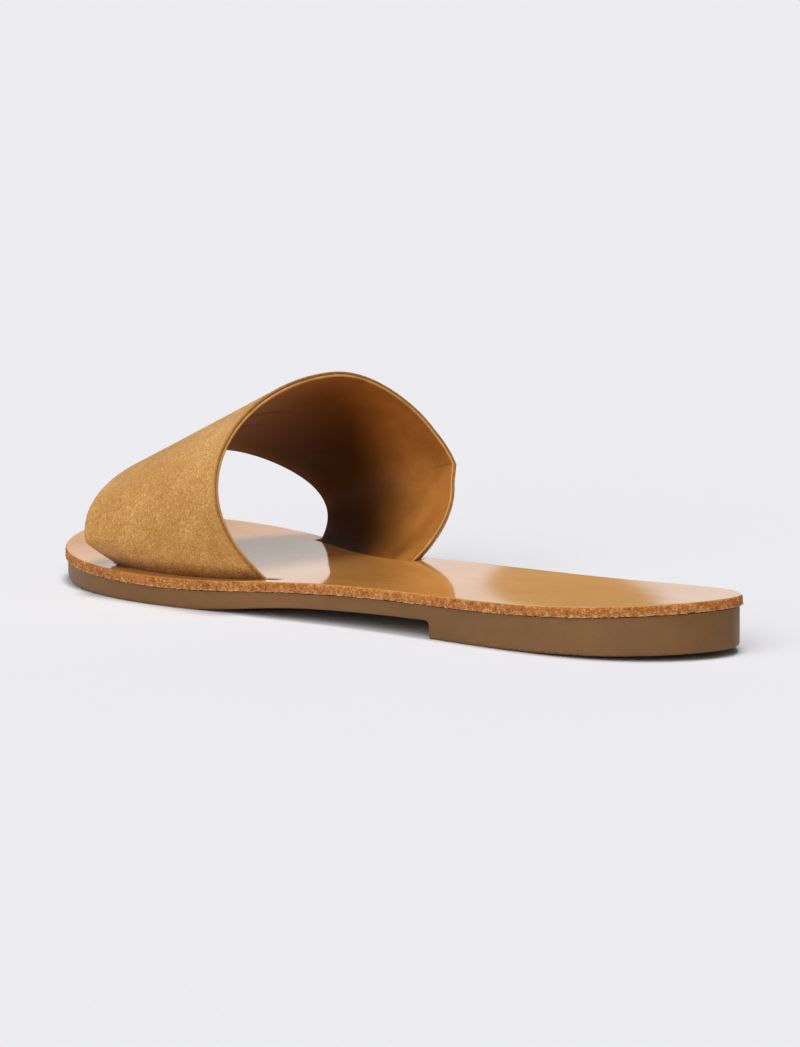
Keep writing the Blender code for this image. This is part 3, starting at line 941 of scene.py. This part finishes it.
def rubber_material():
    """Satin taupe rubber with faint mottling and rubbed patches."""
    paint = Paint("taupe_rubber", {"Specular IOR Level": 0.25})
    cloud = paint.noise(30.0, 3.0, 0.5)
    patch = paint.noise(5.0, 4.0, 0.6)
    dust = paint.noise(0.5, 2.0, 0.6)
    tone = paint.blend((cloud, 0.5), (patch, 0.3), (dust, 0.2))
    colour = paint.ramp(
        tone, (0.36, (0.170, 0.080, 0.026)), (0.50, (0.200, 0.095, 0.032)), (0.64, (0.230, 0.112, 0.040)),
    )
    paint.set("Base Color", colour)
    paint.set("Roughness", paint.ramp(patch, (0.3, (0.42, 0.42, 0.42)), (0.7, (0.56, 0.56, 0.56))))
    paint.set("Normal", paint.bump(dust, 0.02, paint.bump(patch, 0.05)))
    return paint.material


def floor_material():
    """Matt white studio paper."""
    paint = Paint("floor_paper", {"Roughness": 0.95, "Specular IOR Level": 0.0})
    tooth = paint.noise(0.9, 2.0, 0.5)
    low, high = FLOOR_TONES
    paint.set("Base Color", paint.ramp(tooth, (0.3, low), (0.7, high)))
    return paint.material


def aim_camera():
    camera = bpy.data.cameras.new("camera")
    camera.lens = CAMERA_LENS
    camera.clip_start = CAMERA_CLIP
    holder = add_object("camera", camera)
    holder.location = CAMERA_PLACE
    holder.rotation_euler = (CAMERA_AIM - CAMERA_PLACE).to_track_quat("-Z", "Y").to_euler()
    bpy.context.scene.camera = holder


def make_sky():
    """World light: dim room, lit backdrop on the far side of the shoe, glow from the lateral side."""
    world = bpy.data.worlds.new("studio")
    world.use_nodes = True
    tree = Nodes(world.node_tree)
    direction = tree.add("ShaderNodeTexCoord", {}).outputs["Generated"]
    height = tree.add("ShaderNodeSeparateXYZ", {0: direction}).outputs["Z"]

    def along(axis):
        node = tree.add("ShaderNodeVectorMath", {0: direction, 1: tuple(axis)}, operation="DOT_PRODUCT")
        return node.outputs["Value"]

    reach = BACKDROP_REACH
    inputs = {"Value": along(BACKDROP_SIDE), "From Min": -reach, "From Max": reach}
    side = tree.add("ShaderNodeMapRange", inputs).outputs["Result"]
    backdrop = tree.ramp(side, *((0.5 + at / (2.0 * reach), colour) for at, colour in BACKDROP))
    room = tree.ramp(height, *((row.height, (row.room,) * 3) for row in SKY))
    lit = tree.ramp(height, *((row.height, (row.backdrop,) * 3) for row in SKY))
    ahead = tree.between(along(BACKDROP_AHEAD), BACKDROP_FROM, BACKDROP_FULL)
    share = tree.times(lit, ahead)
    glow = tree.times(tree.between(along(GLOW_FROM), GLOW_EDGE, GLOW_FULL), GLOW_LIGHT)
    light = tree.mix(1.0, tree.mix(share, room, backdrop), glow, "ADD")
    tree.fill(world.node_tree.nodes["Background"].inputs["Color"], light)
    bpy.context.scene.world = world


def make_stage():
    """Pale floor that fills the view, light from all round and one large soft light overhead."""
    mesh = bpy.data.meshes.new("floor")
    shape = bmesh.new()
    bmesh.ops.create_circle(shape, cap_ends=True, radius=FLOOR_RADIUS, segments=FLOOR_SIDES)
    shape.to_mesh(mesh)
    shape.free()
    floor = add_object("floor", mesh)
    mesh.materials.append(floor_material())
    make_sky()
    sun = bpy.data.lights.new("softbox", "SUN")
    sun.energy = SUN_ENERGY
    sun.angle = radians(SUN_WIDTH_DEGREES)
    lamp = add_object("softbox", sun)
    lamp.rotation_euler = SUN_DIRECTION.to_track_quat("-Z", "Y").to_euler()
    lamp.visible_glossy = False
    bpy.context.scene.view_settings.view_transform = "Standard"


aim_camera()
make_stage()

board = make_board()
board.data.materials.append(polished_material())
board.data.materials.append(raw_material())
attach(board, "root")
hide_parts("insole")

fibres = make_fibres()
fibres.data.materials.append(fibre_material())
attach(fibres, "root")

rubber = make_rubber()
rubber.data.materials.append(rubber_material())
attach(rubber, "root")
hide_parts("outsole")

across_places = np.linspace(-1.0, 1.0, BAND_ACROSS)
forward_places = np.linspace(0.0, 1.0, BAND_ALONG)
suede = band_layer("upper_suede", across_places, forward_places, 0.0, SUEDE_DEPTH, SUEDE_EDGE_ROUND)
suede.data.materials.append(suede_material())
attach(suede, "root")
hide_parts("upper")

lining = band_layer(
    "upper_lining", across_places, forward_places, SUEDE_DEPTH + SEAM, BAND_WALL, LINING_EDGE_ROUND,
    crease_depth(across_places, forward_places), EDGE_SKIVE,
)
lining.data.materials.append(lining_material())
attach(lining, "root")
